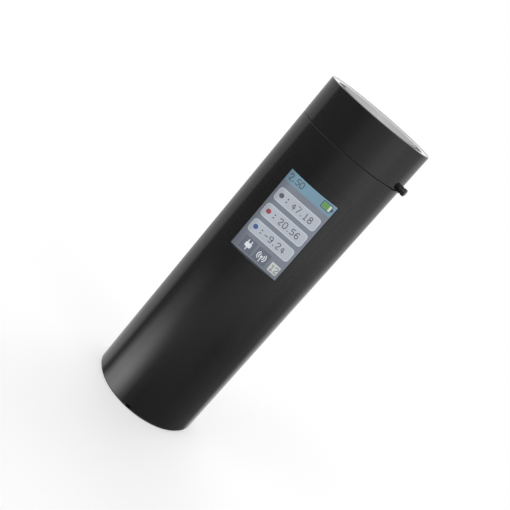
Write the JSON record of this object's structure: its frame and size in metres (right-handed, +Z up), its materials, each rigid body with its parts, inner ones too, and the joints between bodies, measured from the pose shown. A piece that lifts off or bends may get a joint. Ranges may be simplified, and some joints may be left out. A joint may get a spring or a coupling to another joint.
{
  "type": "handheld tube colorimeter",
  "caption": "Handheld colorimeter in a black tube: screen in the wall, measuring well with white-tile cap in the foot, push button in the head.",
  "frame": {"origin": "centre of the calibration cap's flat foot, on the tube's axis", "axes": "+Z up the tube from the measuring end to the button, -Y out of the screen, +X to the side key"},
  "size_m": [0.0527, 0.05, 0.1576],
  "materials": {
    "black_anodised": "satin black anodised aluminium",
    "matt_black_metal": "matt black anodised, light absorbing",
    "bare_aluminium": "machined",
    "brushed_aluminium": "brushed",
    "polished_ring": "polished",
    "dark_plastic": "moulded, fine grain",
    "black_gloss": "gloss black",
    "black_rubber": "matt",
    "clear_glass": "clear",
    "screen_glass": "lit screen behind clear glass",
    "white_ceramic": "glazed white tile",
    "board_green": "green solder mask",
    "board_white": "white solder mask",
    "chip_black": "moulded chip",
    "lamp_resin": "clear resin over phosphor",
    "steel": "plain",
    "tin_plate": "bright tin plate",
    "brass": "turned",
    "nickel": "nickel plate",
    "cell_sleeve": "shrink sleeve",
    "socket_cream": "moulded connector",
    "ribbon_amber": "polyimide film",
    "foam_grey": "closed-cell foam"
  },
  "bodies": {
    "housing": {"body_tube": "black_anodised", "port_sleeve": "matt_black_metal", "port_window": "clear_glass", "window_seal": "black_rubber", "optical_block": "matt_black_metal", "optic_screws": "steel", "lamp_board": "board_white", "lamps": "lamp_resin", "lamp_screws": "steel", "objective_lens": "clear_glass", "sensor_tube": "matt_black_metal", "sensor_board": "board_green", "colour_sensor": "chip_black", "pillars": "brass", "pillar_screws": "steel", "lower_plate": "bare_aluminium", "chassis": "bare_aluminium", "chassis_screws": "steel", "battery_cradle": "dark_plastic", "battery_cell": "cell_sleeve", "battery_contacts": "nickel", "main_board": "board_green", "board_screws": "steel", "processor": "chip_black", "wireless_module": "tin_plate", "ribbon_sockets": "socket_cream", "charging_board": "board_green", "charging_socket": "tin_plate", "screen_bezel": "black_anodised", "screen_glass": "screen_glass", "display_module": "tin_plate", "display_bracket": "steel", "bracket_screws": "steel", "display_ribbon": "ribbon_amber", "sensor_ribbon": "ribbon_amber", "head_ribbon": "ribbon_amber", "upper_plate": "bare_aluminium", "board_spacers": "brass", "spacer_screws": "steel", "button_board": "board_green", "button_switch": "chip_black", "key_switch": "chip_black", "top_shell": "black_anodised", "button_carrier": "dark_plastic", "guide_ring": "dark_plastic", "rim_ring": "polished_ring", "button_spring": "steel"},
    "calibration_cap": {"calibration_cap": "matt_black_metal", "tile_pad": "foam_grey", "white_tile": "white_ceramic", "cap_seal": "black_rubber"},
    "measure_button": {"measure_button": "brushed_aluminium", "button_clip": "steel", "button_plunger": "socket_cream"},
    "side_key": {"side_key": "black_gloss", "key_plunger": "socket_cream"}
  },
  "joints": [
    {"name": "cap_pull_off", "type": "slide", "parent": "housing", "child": "calibration_cap", "axis": [0, 0, -1], "range_m": [0, 0.025]},
    {"name": "measure_button_press", "type": "slide", "parent": "housing", "child": "measure_button", "axis": [0, 0, -1], "range_m": [0, 0.0008], "stiffness_N_per_m": 2500, "springref_m": -0.0006, "deforming": ["button_spring"]},
    {"name": "side_key_press", "type": "slide", "parent": "housing", "child": "side_key", "axis": [-0.9659, 0.2588, 0], "range_m": [0, 0.0005], "stiffness_N_per_m": 3000, "springref_m": -0.0003}
  ]
}
